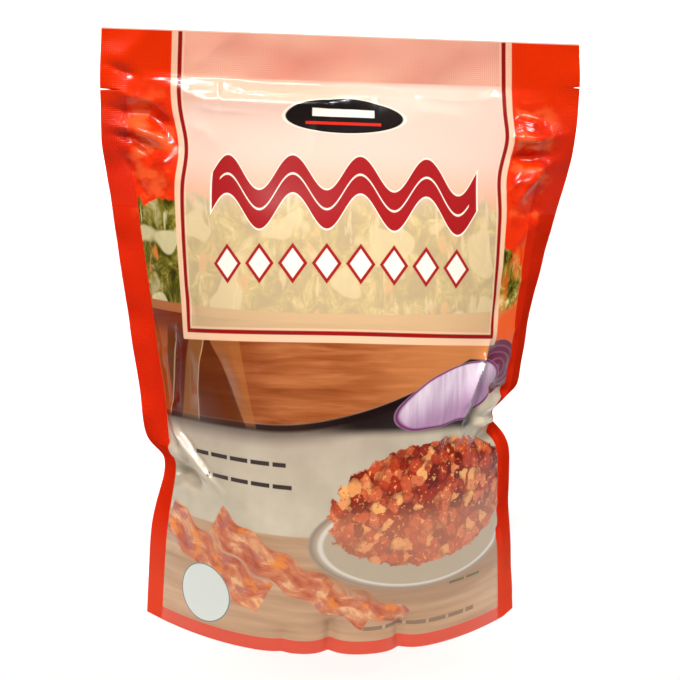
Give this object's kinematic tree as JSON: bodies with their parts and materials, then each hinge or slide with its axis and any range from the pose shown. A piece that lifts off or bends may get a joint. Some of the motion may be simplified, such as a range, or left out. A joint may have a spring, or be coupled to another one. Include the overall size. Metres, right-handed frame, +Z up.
{
  "type": "stand-up food pouch",
  "caption": "Shut stand-up film pouch of crumbled bacon, bowed out by its filling, with a sealed header, side seals drawn in by tucks, film creases and an opened bottom fold.",
  "frame": {"origin": "middle of the bounding box at the height of the ground that the bottom rim stands on", "axes": "+Z up along the pack's height, +X to the right of the front face, +Y from the front face to the back"},
  "size_m": [0.2226, 0.0934, 0.2863],
  "materials": {
    "film": "glossy printed film, red-orange sides round a pale panel, with knurled heat seals"
  },
  "bodies": {
    "root": {"pouch": "film"}
  },
  "joints": []
}
